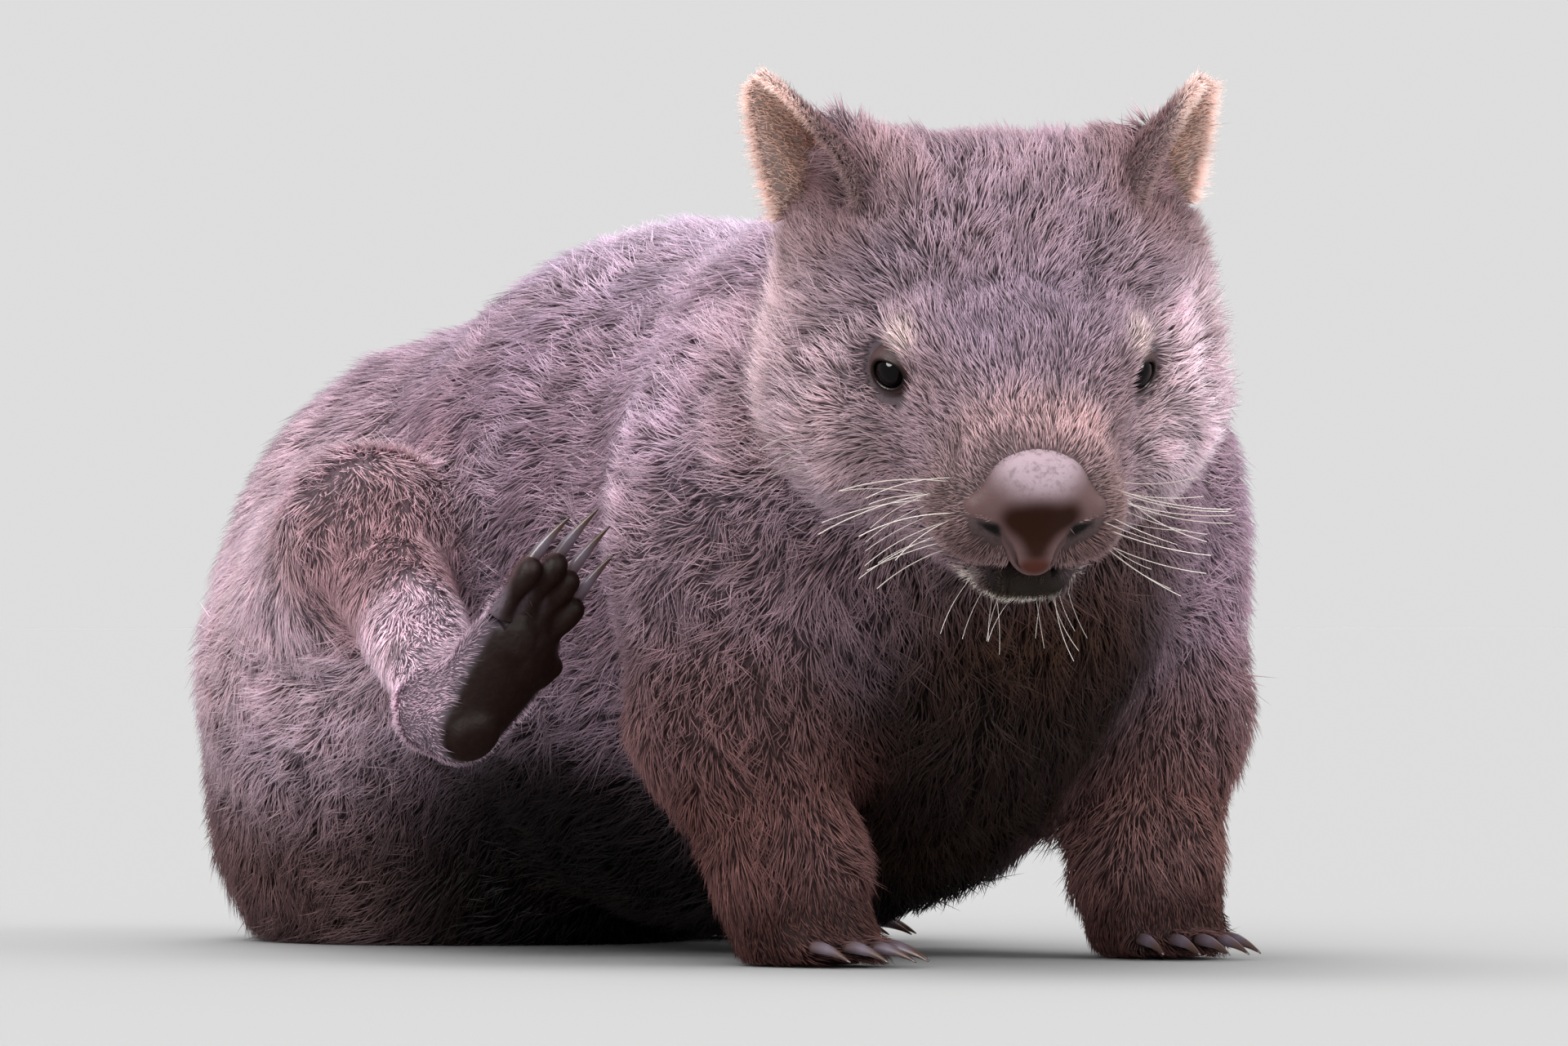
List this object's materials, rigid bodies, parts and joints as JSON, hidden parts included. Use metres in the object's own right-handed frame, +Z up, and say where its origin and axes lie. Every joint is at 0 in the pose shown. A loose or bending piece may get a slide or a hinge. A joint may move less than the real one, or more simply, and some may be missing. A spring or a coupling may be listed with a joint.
{
  "type": "bare-nosed wombat model",
  "caption": "Life-size still model of a wombat sitting on its rump with its forelegs straight, its head turned to one side and a raised hind foot scratching its side.",
  "frame": {"origin": "on the floor at the middle of the animal's footprint box", "axes": "+Z up, +Y from the forefeet towards the rump, +X to the animal's left"},
  "size_m": [0.421, 0.7848, 0.4113],
  "materials": {
    "back_coat": "coarse grey-brown fur with pale tips",
    "face_coat": "short grey-brown fur",
    "leg_coat": "dark reddish-brown fur",
    "bare_skin": "bare dusty skin",
    "horn": "dark horn",
    "eye": "wet gloss"
  },
  "bodies": {
    "root": {"head": "face_coat", "muzzle": "face_coat", "lower_jaw": "face_coat", "nose": "bare_skin", "ear_right": "face_coat", "ear_left": "face_coat", "eye_right": "eye", "eye_left": "eye", "eyelids_right": "bare_skin", "eyelids_left": "bare_skin", "neck": "back_coat", "torso": "back_coat", "rump": "back_coat", "tail": "back_coat", "upper_foreleg_right": "leg_coat", "forearm_right": "leg_coat", "forefoot_right": "leg_coat", "upper_foreleg_left": "leg_coat", "forearm_left": "leg_coat", "forefoot_left": "leg_coat", "thigh_right": "leg_coat", "shank_right": "leg_coat", "hindfoot_right": "leg_coat", "thigh_left": "leg_coat", "shank_left": "leg_coat", "hindfoot_left": "leg_coat", "fore_claw_right_1": "horn", "fore_claw_right_2": "horn", "fore_claw_right_3": "horn", "fore_claw_right_4": "horn", "fore_claw_right_5": "horn", "fore_claw_left_1": "horn", "fore_claw_left_2": "horn", "fore_claw_left_3": "horn", "fore_claw_left_4": "horn", "fore_claw_left_5": "horn", "hind_claw_right_2": "horn", "hind_claw_right_3": "horn", "hind_claw_right_4": "horn", "hind_claw_right_5": "horn", "hind_claw_left_2": "horn", "hind_claw_left_3": "horn", "hind_claw_left_4": "horn", "hind_claw_left_5": "horn"}
  },
  "joints": []
}
